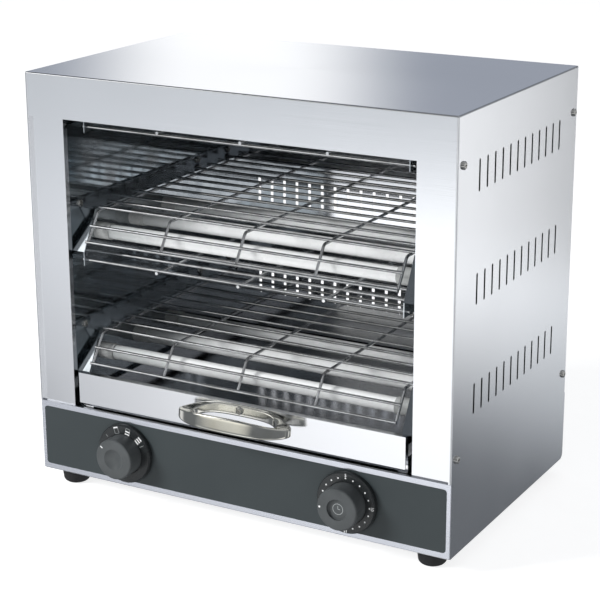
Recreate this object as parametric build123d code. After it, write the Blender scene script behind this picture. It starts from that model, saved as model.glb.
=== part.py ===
from build123d import *
import os

# Counter-top two-level infrared toaster, in millimetres.
# Shop frame: x to the right, y to the back with 0 at the fascia's face, z up from the counter.
# The finished parts are moved along y so that the overall box is centred on the origin.

# ---- Driving dimensions ------------------------------------------------------------------
# Cabinet
BODY_WIDTH = 440.0
BODY_DEPTH = 270.0
BASE_HEIGHT = 69.4
COVER_HEIGHT = 325.6
SHEET = 1.0
THIN_SHEET = 0.8
EDGE_RADIUS = 1.5
FASCIA_HEIGHT = 41.0
FASCIA_LIP = 10.0
REAR_LIP = 43.0
POST_WIDTH = 39.0
POST_SETBACK = 3.5
POST_LIP = 4.7
POST_FLANGE = 22.0
HEM_WIDTH = 2.4
LINER_INSET = 5.0
REFLECTOR_DROP = 8.0
REFLECTOR_LIP = 14.0
BACK_FLANGE = 16.0
BACK_TONGUE = 14.0
DECK_FLANGE = 15.0
BASE_CORNER = 6.0

# Vent slots
SLOT_LENGTH = 28.3
SLOT_WIDTH = 3.2
SLOT_ROW_PITCH = 100.0
SLOT_ROWS = 3
LOW_SLOT_HEIGHT = 67.7
SIDE_SLOTS = 12
SIDE_SLOT_PITCH = 16.5
SIDE_SLOT_FIRST = 44.7
BACK_SLOTS = 18
BACK_SLOT_PITCH = 15.0

# Heater levels
SHELF_HEIGHT = 73.5
LEVEL_PITCH = 120.5
BRACKET_WIDTH = 18.5
BRACKET_FOOT_Y = 10.0
BRACKET_KNEE_Y = 30.0
BRACKET_SLOPE_DROP = 37.3
BRACKET_TAB = 8.0
TUBE_DIAMETER = 14.0
TUBE_WALL = 1.2
TUBE_DROP = 21.0
TUBE_FIRST_Y = 34.0
TUBE_PITCH = 58.0
TUBES_PER_ROW = 3
CAP_DIAMETER = 16.0
CAP_LENGTH = 20.0
CAP_COLLAR = 4.0
CAP_WALL = 2.0
CAP_SOCKET = 8.0
PLATE_MARGIN = 2.0
CEILING_TUBE_GAP = 12.5
COIL_DIAMETER = 8.0
COIL_WALL = 1.0
PIN_DIAMETER = 2.5
PIN_REACH = 5.0

# Wire guards
GUARD_WIRE = 3.0
GUARD_DROP = 25.0
GUARD_FIRST_Y = 14.8
GUARD_PITCH = 29.0
GUARD_WIRES = 6
GUARD_LONG_PITCH = 88.0
GUARD_END = 4.0
GUARD_NUB = 2.2
GUARD_WELD = 1.0
CEILING_GUARD_DROP = 30.3
CEILING_GUARD_FIRST_Y = 22.0

# Racks
RACK_WIRE = 2.8
RACK_PITCH = 22.5
RACK_FLAT_WIRES = 11
RACK_FIRST_Y = 33.5
RACK_LONG_WIRES = 5
RACK_SIDE_MARGIN = 5.5
RACK_OVERHANG = 4.5
RACK_SLOPE_DROP = 28.0
RACK_FOOT_Y = 8.5
RACK_KNEE_RADIUS = 6.0
RACK_SLOPE_WIRE = 16.0
WELD_DEPTH = 0.4

# Crumb tray and its pull
TRAY_FACE_Y = 3.0
TRAY_FACE_LOW = 6.6
TRAY_FACE_HEIGHT = 30.4
TRAY_SIDE_GAP = 6.2
TRAY_CAP_DEPTH = 6.2
TRAY_WALL = 12.0
TRAY_PAN_GAP = 9.0
TRAY_REAR_GAP = 6.0
RUNNER_HEIGHT = 9.0
RUNNER_FOOT = 9.0
PULL_CENTRE_X = 8.5
PULL_LENGTH = 118.0
PULL_FRONT_LENGTH = 88.0
PULL_BACK_LENGTH = 76.0
PULL_REACH = 31.0
PULL_BOW = 5.0
PULL_TIP_BACK = 9.0
PULL_REAR_BAR = 4.0
PULL_FRONT_BAR = 2.6
PULL_END_BAR = 17.0
PULL_REAR_HEIGHT = 8.0
PULL_FRONT_HEIGHT = 13.5
PULL_REAR_DROP = 0.2
PULL_FALL = 4.4
PULL_TIP_RISE = 8.0
PULL_CORNER_RADIUS = 8.0
PULL_TIP_RADIUS = 3.0
PULL_BACK_RADIUS = 6.0
PULL_OPENING_RADIUS = 8.0
PULL_ROUND = 1.2

# Control panel
PANEL_HEIGHT = 71.0
PANEL_LOW = 0.5
PANEL_FACE_Y = 1.0
PANEL_SIDE_BORDER = 4.0
PANEL_TOP_BORDER = 5.5
PANEL_TAB = 12.0
PANEL_ROUND = 0.5
OVERLAY = 0.4
OVERLAY_CORNER = 3.0
CONTROL_X = 120.0
CONTROL_HEIGHT = 35.5
DIAL_DIAMETER = 59.0
DIAL_THICKNESS = 5.6
DIAL_BEVEL = 1.2
KNOB_DIAMETER = 40.0
KNOB_REACH = 23.0
KNOB_ROUND = 1.6
KNOB_GAP = 0.6
KNOB_SINK = 2.0
DISH_DIAMETER = 21.0
DISH_DEPTH = 3.0
TIMER_CUP_DIAMETER = 20.0
TIMER_CUP_DEPTH = 2.6
TIMER_CUP_ROUND = 1.0
SHAFT_DIAMETER = 6.0
SHAFT_FLAT = 1.5
SHAFT_BITE = 11.0
SHAFT_TAIL = 10.0
NECK_DIAMETER = 10.0
NECK_PROUD = 2.4
SWITCH_WIDTH = 40.0
SWITCH_DEPTH = 34.0
CASE_ROUND = 3.0
BLADE_LENGTH = 8.0
BLADE_WIDTH = 6.0
BLADE_THICKNESS = 0.8
BLADE_PITCH_X = 20.0
BLADE_PITCH_Z = 10.0
TIMER_WIDTH = 46.0
TIMER_DEPTH = 28.0
DRUM_DIAMETER = 36.0
DRUM_DEPTH = 9.0

# Feet, fasteners and electrics
FOOT_HEIGHT = 15.0
FOOT_DIAMETER = 29.0
FOOT_TAPER = 2.0
FOOT_ROUND = 5.0
FOOT_INSET_X = 25.0
FOOT_INSET_Y = 20.0
FOOT_BORE = 12.0
FOOT_BORE_DEPTH = 8.0
FOOT_SCREW = 5.0
FOOT_SCREW_HEAD = 9.0
FOOT_HEAD_HEIGHT = 3.5
FOOT_NUT_HEIGHT = 4.0
SCREW_HEAD = 7.4
SCREW_PROUD = 2.3
SCREW_ROUND = 1.6
SCREW_SHANK = 3.6
SCREW_LENGTH = 6.0
CROSS_LENGTH = 4.2
CROSS_WIDTH = 0.9
CROSS_DEPTH = 1.1
SIDE_SCREW_FRONT = 11.0
SIDE_SCREW_REAR = 9.0
SIDE_SCREW_LOW = 22.3
SIDE_SCREW_HIGH = 43.0
BACK_SCREW_INSET = 70.0
BACK_SCREW_EDGE = 7.0
BRACKET_SCREW_REAR = 30.0
GLAND_FROM_SIDE = 70.0
GLAND_HEIGHT = 34.0
GLAND_HEX = 20.0
GLAND_REACH = 8.0
GLAND_THREAD = 15.0
GLAND_THREAD_LENGTH = 12.0
GLAND_NUT_HEIGHT = 4.0
GLAND_BEVEL = 1.0
GLAND_BORE = 8.0
BLOCK_LENGTH = 62.0
BLOCK_WIDTH = 22.0
BLOCK_HEIGHT = 20.0
BLOCK_WEB = 14.0
BLOCK_WAYS = 3
BLOCK_WAY_WIDTH = 15.5
BLOCK_BORE = 4.4
BLOCK_BORE_HEIGHT = 8.0
BLOCK_FROM_GLAND = 15.0
BLOCK_FROM_BACK = 70.0

# Running clearances
SEAT_GAP = 0.3
RUN_GAP = 0.5
SHAFT_GAP = 0.05
HOLE_GAP = 0.2

# ---- Derived places ------------------------------------------------------------------------
HALF_WIDTH = BODY_WIDTH / 2
INNER_HALF = HALF_WIDTH - SHEET
BASE_Z = FOOT_HEIGHT
SEAM_Z = BASE_Z + BASE_HEIGHT
DECK_Z = SEAM_Z + SHEET
TOP_Z = SEAM_Z + COVER_HEIGHT
FASCIA_Z = TOP_Z - FASCIA_HEIGHT
BACK_Y = BODY_DEPTH - 2 * SHEET
OPENING_HALF = HALF_WIDTH - POST_WIDTH
BACK_SCREW_X = HALF_WIDTH - BACK_SCREW_INSET
GLAND_X = HALF_WIDTH - GLAND_FROM_SIDE
LINER_X = OPENING_HALF + LINER_INSET
LINER_Y = POST_SETBACK + SHEET + POST_LIP
BRACKET_X = LINER_X - BRACKET_WIDTH
RACK_LONG_PITCH = 2 * (BRACKET_X - RACK_SIDE_MARGIN) / (RACK_LONG_WIRES - 1)
CEILING_Z = TOP_Z - REFLECTOR_DROP
REFLECTOR_Y = max(FASCIA_LIP, LINER_Y)
LOWER_SHELF = SEAM_Z + SHELF_HEIGHT
UPPER_SHELF = LOWER_SHELF + LEVEL_PITCH
LOWER_TUBE_Z = LOWER_SHELF - TUBE_DROP
MIDDLE_TUBE_Z = UPPER_SHELF - TUBE_DROP
TOP_TUBE_Z = CEILING_Z - CEILING_TUBE_GAP
PLATE_BELOW_GUARD = GUARD_WIRE + PLATE_MARGIN
CAP_X = BRACKET_X - (CAP_LENGTH - CAP_COLLAR)
TUBE_HALF = CAP_X + CAP_SOCKET
PANEL_Z = BASE_Z + PANEL_LOW
PANEL_TOP = PANEL_Z + PANEL_HEIGHT
OVERLAY_Y = PANEL_FACE_Y - OVERLAY
DIAL_Y = OVERLAY_Y - DIAL_THICKNESS
KNOB_Y = PANEL_FACE_Y - KNOB_REACH
KNOB_BACK_Y = DIAL_Y + KNOB_SINK
CONTROL_Z = BASE_Z + CONTROL_HEIGHT
FRONT_Y = min(TRAY_FACE_Y - PULL_REACH, KNOB_Y)
REAR_Y = BODY_DEPTH + max(GLAND_REACH, SCREW_PROUD)
TO_ORIGIN = -(FRONT_Y + REAR_Y) / 2


# ---- Small shape helpers ---------------------------------------------------------------------
def block(x0, x1, y0, y1, z0, z1):
    """A box between two corners."""
    centre = Pos((x0 + x1) / 2, (y0 + y1) / 2, (z0 + z1) / 2)
    return centre * Box(abs(x1 - x0), abs(y1 - y0), abs(z1 - z0))


def rod(start, end, radius):
    """A round bar between two points."""
    start, end = Vector(*start), Vector(*end)
    run = end - start
    base = Plane(origin=start, z_dir=run.normalized())
    return extrude(base * Circle(radius), run.length)


def along_x(points, x0, x1):
    """A (y, z) outline drawn out from x0 to x1."""
    face = make_face(Polyline([(x0, y, z) for y, z in points], close=True))
    return extrude(face, abs(x1 - x0), dir=(1 if x1 > x0 else -1, 0, 0))


def mirror_x(solid):
    """The same piece on the cabinet's other side."""
    return mirror(solid, Plane.YZ)


def spaced(first, pitch, count):
    return [first + pitch * i for i in range(count)]


def centred(pitch, count):
    return spaced(-pitch * (count - 1) / 2, pitch, count)


NODES = {}


def keep(name, *solids):
    """Files the solids of one node, moved to the finished part's origin."""
    pieces = []
    for solid in solids:
        pieces += (Pos(0, TO_ORIGIN, 0) * solid).solids()
    NODES[name] = pieces


# ---- Vent slots -----------------------------------------------------------------------------
SLOT_ROW_Z = spaced(SEAM_Z + LOW_SLOT_HEIGHT, SLOT_ROW_PITCH, SLOT_ROWS)
SIDE_SLOT_Y = spaced(SIDE_SLOT_FIRST, SIDE_SLOT_PITCH, SIDE_SLOTS)
BACK_SLOT_X = centred(BACK_SLOT_PITCH, BACK_SLOTS)


def side_slots():
    """Upright slots cut through both side walls at once."""
    sketch = Sketch() + [
        Plane.YZ * Pos(y, z) * SlotOverall(SLOT_LENGTH, SLOT_WIDTH, rotation=90)
        for y in SIDE_SLOT_Y
        for z in SLOT_ROW_Z
    ]
    return extrude(sketch, HALF_WIDTH + 1, both=True)


def back_slots():
    sketch = Sketch() + [
        Plane.XZ * Pos(x, z) * SlotOverall(SLOT_LENGTH, SLOT_WIDTH, rotation=90)
        for x in BACK_SLOT_X
        for z in SLOT_ROW_Z
    ]
    return extrude(Pos(0, BACK_Y - 1, 0) * sketch, -(2 * SHEET + 1))


# ---- Screws ------------------------------------------------------------------------------------
SIDE_SCREWS = [
    (y, z)
    for y in (SIDE_SCREW_FRONT, BODY_DEPTH - SIDE_SCREW_REAR)
    for z in (SEAM_Z + SIDE_SCREW_LOW, TOP_Z - SIDE_SCREW_HIGH)
]
BACK_SCREWS = [
    (x, z)
    for x in (-BACK_SCREW_X, BACK_SCREW_X)
    for z in (SEAM_Z - BACK_SCREW_EDGE, TOP_Z - REAR_LIP + BACK_SCREW_EDGE)
]
FEET = [
    (x, y)
    for x in (-HALF_WIDTH + FOOT_INSET_X, HALF_WIDTH - FOOT_INSET_X)
    for y in (FOOT_INSET_Y, BODY_DEPTH - FOOT_INSET_Y)
]


CROSS = ((CROSS_LENGTH, CROSS_WIDTH), (CROSS_WIDTH, CROSS_LENGTH))


def pan_screw():
    """A cross-head screw along +Z: the head sits on z = 0 and the shank points down."""
    head = Cylinder(SCREW_HEAD / 2, SCREW_PROUD, align=(Align.CENTER, Align.CENTER, Align.MIN))
    head = fillet(head.edges().sort_by(Axis.Z)[-1], SCREW_ROUND)
    for width, length in CROSS:
        head -= Pos(0, 0, SCREW_PROUD) * Box(width, length, 2 * CROSS_DEPTH)
    shank = Cylinder(SCREW_SHANK / 2, SCREW_LENGTH, align=(Align.CENTER, Align.CENTER, Align.MAX))
    return head + shank


def screw_hole(radius=SCREW_SHANK / 2 + HOLE_GAP):
    return Cylinder(radius, 4 * SCREW_LENGTH)


def side_screw_places():
    for y, z in SIDE_SCREWS:
        yield Plane(origin=(HALF_WIDTH, y, z), z_dir=(1, 0, 0))
        yield Plane(origin=(-HALF_WIDTH, y, z), z_dir=(-1, 0, 0))


def back_screw_places():
    for x, z in BACK_SCREWS:
        yield Plane(origin=(x, BODY_DEPTH, z), z_dir=(0, 1, 0))


# ---- Cabinet sheets --------------------------------------------------------------------------
def outer_cover():
    """Top, fascia, both sides and the rear lip, folded from one sheet."""
    shell = block(-HALF_WIDTH, HALF_WIDTH, 0, BODY_DEPTH, SEAM_Z, TOP_Z)
    folds = shell.edges().filter_by(Axis.Z) + shell.edges().group_by(Axis.Z)[-1]
    shell = fillet(folds, EDGE_RADIUS)
    shell -= block(-INNER_HALF, INNER_HALF, SHEET, BODY_DEPTH - SHEET, SEAM_Z - 1, TOP_Z - SHEET)
    mouth = HALF_WIDTH - HEM_WIDTH
    shell -= block(-mouth, mouth, -1, SHEET + 1, SEAM_Z - 1, FASCIA_Z)
    rear_z = TOP_Z - REAR_LIP
    shell -= block(-INNER_HALF, INNER_HALF, BACK_Y, BODY_DEPTH + 1, SEAM_Z - 1, rear_z)
    for side in (-1, 1):
        shell += block(side * mouth, side * INNER_HALF, SHEET, POST_SETBACK, SEAM_Z, FASCIA_Z + SHEET)
    shell += block(-mouth, mouth, SHEET, FASCIA_LIP, FASCIA_Z, FASCIA_Z + SHEET) - post_room()
    shell -= block(-HALF_WIDTH - 1, HALF_WIDTH + 1, -1, POST_SETBACK, SEAM_Z - 1, PANEL_TOP + HOLE_GAP)
    shell -= side_slots()
    for place in side_screw_places():
        shell -= place * screw_hole()
    for place in back_screw_places():
        shell -= place * screw_hole()
    return shell


def post_room():
    """Space behind the fascia that the two posts rise through."""
    low = OPENING_HALF - RUN_GAP
    room = block(low, HALF_WIDTH, POST_SETBACK - HOLE_GAP, REFLECTOR_Y + THIN_SHEET, FASCIA_Z - 1, TOP_Z)
    return room + mirror_x(room)


def front_post():
    """Right-hand post: a face, a lip into the opening and a flange along the side wall."""
    top = TOP_Z - SHEET
    face = block(OPENING_HALF, INNER_HALF, POST_SETBACK, POST_SETBACK + SHEET, DECK_Z, top)
    lip = block(OPENING_HALF, OPENING_HALF + SHEET, POST_SETBACK, LINER_Y, DECK_Z, top - 2 * SHEET)
    flange = block(INNER_HALF - SHEET, INNER_HALF, POST_SETBACK, POST_FLANGE, DECK_Z, top)
    post = face + lip + flange
    for place in side_screw_places():
        post -= place * screw_hole()
    return post


def back_panel():
    """One slotted sheet with side flanges, and a tongue that drops behind the base."""
    top = TOP_Z - SHEET
    sheet = block(-INNER_HALF, INNER_HALF, BACK_Y, BACK_Y + SHEET, SEAM_Z - BACK_TONGUE, top)
    for side in (-1, 1):
        inside = side * (INNER_HALF - SHEET)
        sheet += block(inside, side * INNER_HALF, BACK_Y - BACK_FLANGE, BACK_Y, DECK_Z, top)
    sheet -= back_slots()
    for place in side_screw_places():
        sheet -= place * screw_hole()
    for place in back_screw_places():
        sheet -= place * screw_hole()
    return sheet


def side_liner():
    """Right-hand polished inner wall, with a front flange to the post and a top flange."""
    top = CEILING_Z
    wall = block(LINER_X, LINER_X + THIN_SHEET, LINER_Y, BACK_Y, DECK_Z, top)
    wall += block(OPENING_HALF, LINER_X, LINER_Y, LINER_Y + THIN_SHEET, DECK_Z, top)
    wall += block(LINER_X, LINER_X + REFLECTOR_LIP, LINER_Y, BACK_Y, top - THIN_SHEET, top)
    for y, z in bracket_screws():
        wall -= Plane(origin=(LINER_X, y, z), z_dir=(1, 0, 0)) * screw_hole()
    return wall


def ceiling_reflector():
    """Bright sheet over the top row, resting on the liners, with a lip behind the fascia."""
    half = LINER_X + REFLECTOR_LIP
    sheet = block(-half, half, REFLECTOR_Y, BACK_Y, CEILING_Z, CEILING_Z + THIN_SHEET)
    inner = OPENING_HALF - RUN_GAP
    return sheet + block(-inner, inner, REFLECTOR_Y, REFLECTOR_Y + THIN_SHEET, FASCIA_Z + SHEET, CEILING_Z)


def lower_rear_edge(solid):
    return solid.edges().filter_by(Axis.X).sort_by(lambda edge: edge.center().Z - edge.center().Y)[0]


def base_pan():
    """Floor and back wall of the base, folded with a rounded rear edge."""
    front = PANEL_FACE_Y + SHEET
    pan = block(-INNER_HALF, INNER_HALF, front, BODY_DEPTH, BASE_Z, SEAM_Z)
    pan = fillet(lower_rear_edge(pan), BASE_CORNER)
    hollow = block(-HALF_WIDTH, HALF_WIDTH, front - 1, BODY_DEPTH - SHEET, BASE_Z + SHEET, SEAM_Z + 1)
    pan -= fillet(lower_rear_edge(hollow), BASE_CORNER - SHEET)
    for x, y in FEET:
        pan -= Pos(x, y, BASE_Z) * Cylinder(FOOT_SCREW / 2 + HOLE_GAP, 4 * SHEET)
    gland = Plane(origin=(GLAND_X, BODY_DEPTH, BASE_Z + GLAND_HEIGHT), z_dir=(0, 1, 0))
    pan -= gland * Cylinder(GLAND_THREAD / 2 + HOLE_GAP, 4 * SHEET)
    for place in back_screw_places():
        pan -= place * screw_hole()
    return pan


def base_side():
    """Right-hand side plate of the base, welded to the pan's edges and rounded as they are."""
    plate = block(INNER_HALF, HALF_WIDTH, PANEL_FACE_Y + SHEET, BODY_DEPTH, BASE_Z, SEAM_Z)
    return fillet(lower_rear_edge(plate), BASE_CORNER)


def base_deck():
    """Floor of the oven space, flanged down inside the base's side walls."""
    deck = block(-INNER_HALF, INNER_HALF, POST_SETBACK, BACK_Y, SEAM_Z, DECK_Z)
    for side in (-1, 1):
        inside = side * (INNER_HALF - SHEET)
        deck += block(inside, side * INNER_HALF, POST_FLANGE, BACK_Y, SEAM_Z - DECK_FLANGE, SEAM_Z)
    return deck


def across_panel(x, y0, y1, radius):
    """A round bar on a control's axis."""
    return rod((x, y0, CONTROL_Z), (x, y1, CONTROL_Z), radius)


def control_holes(y0, y1):
    radius = NECK_DIAMETER / 2 + HOLE_GAP
    return [across_panel(x, y0, y1, radius) for x in (-CONTROL_X, CONTROL_X)]


def control_panel():
    """Front plate of the base, with a top lip and two side tabs."""
    back = PANEL_FACE_Y + SHEET
    plate = block(-HALF_WIDTH, HALF_WIDTH, PANEL_FACE_Y, back, PANEL_Z, PANEL_TOP)
    plate = fillet(plate.faces().sort_by(Axis.Y)[0].edges(), PANEL_ROUND)
    plate += block(-HALF_WIDTH, HALF_WIDTH, back, POST_SETBACK, PANEL_TOP - SHEET, PANEL_TOP)
    for side in (-1, 1):
        inside = side * (INNER_HALF - SHEET)
        tab_top = SEAM_Z - DECK_FLANGE - SHEET
        plate += block(inside, side * INNER_HALF, back, back + PANEL_TAB, BASE_Z + 2 * SHEET, tab_top)
    for hole in control_holes(PANEL_FACE_Y - 1, back + 1):
        plate -= hole
    return plate


def panel_overlay():
    """Dark film on the panel, inside a bare metal border."""
    half = HALF_WIDTH - PANEL_SIDE_BORDER
    low, high = PANEL_Z + PANEL_TOP_BORDER, PANEL_TOP - PANEL_TOP_BORDER
    film = block(-half, half, OVERLAY_Y, PANEL_FACE_Y, low, high)
    film = fillet(film.edges().filter_by(Axis.Y), OVERLAY_CORNER)
    for hole in control_holes(OVERLAY_Y - 1, PANEL_FACE_Y + 1):
        film -= hole
    return film


# ---- Controls ------------------------------------------------------------------------------------
def dial_ring(x):
    """Fixed ring around a knob, which carries the scale."""
    ring = across_panel(x, OVERLAY_Y, DIAL_Y, DIAL_DIAMETER / 2)
    ring = chamfer(ring.edges().sort_by(Axis.Y)[0], DIAL_BEVEL)
    return ring - across_panel(x, OVERLAY_Y + 1, DIAL_Y - 1, KNOB_DIAMETER / 2 + KNOB_GAP)


def flatted_shaft(x, y0, y1):
    """A D-shaped length of shaft: its flat faces up."""
    radius = SHAFT_DIAMETER / 2
    flat = block(x - radius, x + radius, y0, y1, CONTROL_Z + radius - SHAFT_FLAT, CONTROL_Z + SHAFT_DIAMETER)
    return across_panel(x, y0, y1, radius) - flat


def knob(x, timer):
    """A round grip with a hollow in its face and a D-shaped socket for its shaft."""
    grip = across_panel(x, KNOB_Y, KNOB_BACK_Y, KNOB_DIAMETER / 2)
    grip = fillet(grip.edges().sort_by(Axis.Y)[0], KNOB_ROUND)
    if timer:
        cup = across_panel(x, KNOB_Y - 1, KNOB_Y + TIMER_CUP_DEPTH, TIMER_CUP_DIAMETER / 2)
        grip -= fillet(cup.edges().sort_by(Axis.Y)[-1], TIMER_CUP_ROUND)
    else:
        ball = (DISH_DIAMETER**2 / 4 + DISH_DEPTH**2) / (2 * DISH_DEPTH)
        grip -= Pos(x, KNOB_Y + DISH_DEPTH - ball, CONTROL_Z) * Sphere(ball)
    return grip - flatted_shaft(x, KNOB_BACK_Y - SHAFT_BITE, KNOB_BACK_Y + 1)


def control_shaft(x):
    """Shaft from the knob's socket into the switch: flat in the socket, round behind it."""
    tail = PANEL_FACE_Y + SHEET + SHAFT_TAIL
    flat_part = flatted_shaft(x, KNOB_BACK_Y - SHAFT_BITE, KNOB_BACK_Y)
    return flat_part + across_panel(x, KNOB_BACK_Y, tail, SHAFT_DIAMETER / 2)


def switch_case(x, width, depth):
    """A square case behind the panel."""
    back, half = PANEL_FACE_Y + SHEET, width / 2
    case = block(x - half, x + half, back, back + depth, CONTROL_Z - half, CONTROL_Z + half)
    return fillet(case.edges().filter_by(Axis.Y), CASE_ROUND)


def add_neck(case, x):
    """Gives a case its neck through the panel, and the bore that the shaft turns in."""
    front = OVERLAY_Y - NECK_PROUD
    end = PANEL_FACE_Y + SHEET + SHAFT_TAIL + RUN_GAP
    case += across_panel(x, front, PANEL_FACE_Y + 2 * SHEET, NECK_DIAMETER / 2)
    return case - across_panel(x, front - 1, end, SHAFT_DIAMETER / 2 + SHAFT_GAP)


def selector_switch():
    """Cam switch behind the panel, with its blade terminals at the back."""
    case = switch_case(-CONTROL_X, SWITCH_WIDTH, SWITCH_DEPTH)
    rear = PANEL_FACE_Y + SHEET + SWITCH_DEPTH
    wide, thick = BLADE_WIDTH / 2, BLADE_THICKNESS / 2
    for dx in centred(BLADE_PITCH_X, 2):
        for dz in centred(BLADE_PITCH_Z, 3):
            x, z = dx - CONTROL_X, dz + CONTROL_Z
            case += block(x - wide, x + wide, rear, rear + BLADE_LENGTH, z - thick, z + thick)
    return add_neck(case, -CONTROL_X)


def timer_clockwork():
    """Clockwork timer behind the panel: a square case with a round spring drum."""
    case = switch_case(CONTROL_X, TIMER_WIDTH, TIMER_DEPTH)
    rear = PANEL_FACE_Y + SHEET + TIMER_DEPTH
    case += across_panel(CONTROL_X, rear, rear + DRUM_DEPTH, DRUM_DIAMETER / 2)
    return add_neck(case, CONTROL_X)


# ---- Heater brackets, tubes and guards -----------------------------------------------------------
TUBE_Y = spaced(TUBE_FIRST_Y, TUBE_PITCH, TUBES_PER_ROW)
GUARD_Y = spaced(GUARD_FIRST_Y, GUARD_PITCH, GUARD_WIRES)
CEILING_GUARD_Y = spaced(CEILING_GUARD_FIRST_Y, GUARD_PITCH, GUARD_WIRES)


def bracket_screws():
    """Where small screws hold the brackets' upturned tabs to the liner, as (y, z)."""
    rows = (LOWER_SHELF, UPPER_SHELF)
    ends = (BRACKET_KNEE_Y, BACK_Y - BRACKET_SCREW_REAR)
    places = [(y, shelf + BRACKET_TAB / 2) for shelf in rows for y in ends]
    return places + [(y, TOP_TUBE_Z) for y in ends]


def drill_plate(bracket, tube_z, guard_z, guard_y):
    """Holes for the tubes' caps and for the guard's wire ends."""
    x0, x1 = BRACKET_X - 1, BRACKET_X + THIN_SHEET + 1
    for y in TUBE_Y:
        bracket -= rod((x0, y, tube_z), (x1, y, tube_z), CAP_DIAMETER / 2 - CAP_WALL + HOLE_GAP)
    for y in guard_y:
        bracket -= rod((x0, y, guard_z), (x1, y, guard_z), GUARD_WIRE / 2 + HOLE_GAP)
    return bracket


def shelf_bracket(shelf, guarded):
    """Right-hand rack shelf: an upright plate, a top, a sloped nose and a tab on the liner."""
    tube_z = shelf - TUBE_DROP
    guard_z = tube_z - GUARD_DROP
    low = guard_z - PLATE_BELOW_GUARD
    nose = (BRACKET_FOOT_Y, shelf - BRACKET_SLOPE_DROP)
    knee = (BRACKET_KNEE_Y, shelf)
    plate_outline = [(BRACKET_FOOT_Y, low), nose, knee, (BACK_Y, shelf), (BACK_Y, low)]
    plate = along_x(plate_outline, BRACKET_X, BRACKET_X + THIN_SHEET)
    under_knee = (BRACKET_KNEE_Y + THIN_SHEET / 2, shelf - THIN_SHEET)
    band = [nose, knee, (BACK_Y, shelf), (BACK_Y, shelf - THIN_SHEET)]
    band += [under_knee, (BRACKET_FOOT_Y + THIN_SHEET, nose[1])]
    bracket = plate + along_x(band, BRACKET_X, LINER_X)
    tab_top = shelf + BRACKET_TAB
    bracket += block(LINER_X - THIN_SHEET, LINER_X, LINER_Y + THIN_SHEET, BACK_Y, shelf, tab_top)
    for y, z in bracket_screws():
        bracket -= Plane(origin=(LINER_X, y, z), z_dir=(1, 0, 0)) * screw_hole()
    return drill_plate(bracket, tube_z, guard_z, GUARD_Y if guarded else ())


def ceiling_bracket():
    """Right-hand holder of the top row, hung from the liner by a top and an outer flange."""
    guard_z = TOP_TUBE_Z - CEILING_GUARD_DROP
    low = guard_z - PLATE_BELOW_GUARD
    front = max(REFLECTOR_Y + THIN_SHEET, CEILING_GUARD_FIRST_Y - GUARD_NUB - PLATE_MARGIN)
    bracket = block(BRACKET_X, BRACKET_X + THIN_SHEET, front, BACK_Y, low, CEILING_Z)
    bracket += block(BRACKET_X, LINER_X, front, BACK_Y, CEILING_Z - THIN_SHEET, CEILING_Z)
    bracket += block(LINER_X - THIN_SHEET, LINER_X, front, BACK_Y, TOP_TUBE_Z - BRACKET_TAB, CEILING_Z)
    for y, z in bracket_screws():
        bracket -= Plane(origin=(LINER_X, y, z), z_dir=(1, 0, 0)) * screw_hole()
    return drill_plate(bracket, TOP_TUBE_Z, guard_z, CEILING_GUARD_Y)


def tube_row(z):
    """Milky quartz tubes, open at both ends."""
    tubes = []
    for y in TUBE_Y:
        outside = rod((-TUBE_HALF, y, z), (TUBE_HALF, y, z), TUBE_DIAMETER / 2)
        inside = rod((-TUBE_HALF - 1, y, z), (TUBE_HALF + 1, y, z), TUBE_DIAMETER / 2 - TUBE_WALL)
        tubes.append(outside - inside)
    return tubes


def end_cap(y, z):
    """Right-hand ceramic cap: a cup over the tube with a spigot through the bracket's plate."""
    cap = rod((CAP_X, y, z), (BRACKET_X, y, z), CAP_DIAMETER / 2)
    cap += rod((BRACKET_X, y, z), (BRACKET_X + CAP_COLLAR, y, z), CAP_DIAMETER / 2 - CAP_WALL)
    cap -= rod((CAP_X - 1, y, z), (TUBE_HALF, y, z), TUBE_DIAMETER / 2)
    return cap - rod((CAP_X, y, z), (LINER_X, y, z), PIN_DIAMETER / 2)


def coil(y, z):
    """Close-wound resistance coil with a pin at each end, as one solid."""
    half = TUBE_HALF - RUN_GAP
    sleeve = rod((-half, y, z), (half, y, z), COIL_DIAMETER / 2)
    sleeve -= rod((-half + COIL_WALL, y, z), (half - COIL_WALL, y, z), COIL_DIAMETER / 2 - COIL_WALL)
    end = BRACKET_X + CAP_COLLAR + PIN_REACH
    for side in (-1, 1):
        sleeve += rod((side * half, y, z), (side * end, y, z), PIN_DIAMETER / 2)
    return sleeve


def wire_guard(z, wires_y, side):
    """Cross wires hooked into the bracket plates, on three long wires below (-1) or above (1) them."""
    end = BRACKET_X + GUARD_END
    radius = GUARD_WIRE / 2
    guard = Part()
    for y in wires_y:
        guard += rod((-end, y, z), (end, y, z), radius)
    long_z = z + side * (GUARD_WIRE - GUARD_WELD)
    for x in centred(GUARD_LONG_PITCH, 3):
        guard += rod((x, wires_y[0] - GUARD_NUB, long_z), (x, wires_y[-1] + GUARD_NUB, long_z), radius)
    return guard


# ---- Racks ----------------------------------------------------------------------------------------
RACK_RADIUS = RACK_WIRE / 2
RACK_WELD = RACK_WIRE - WELD_DEPTH
RACK_SEAM_Y = RACK_FIRST_Y - RACK_RADIUS
RACK_LONG_X = centred(RACK_LONG_PITCH, RACK_LONG_WIRES)


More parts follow.
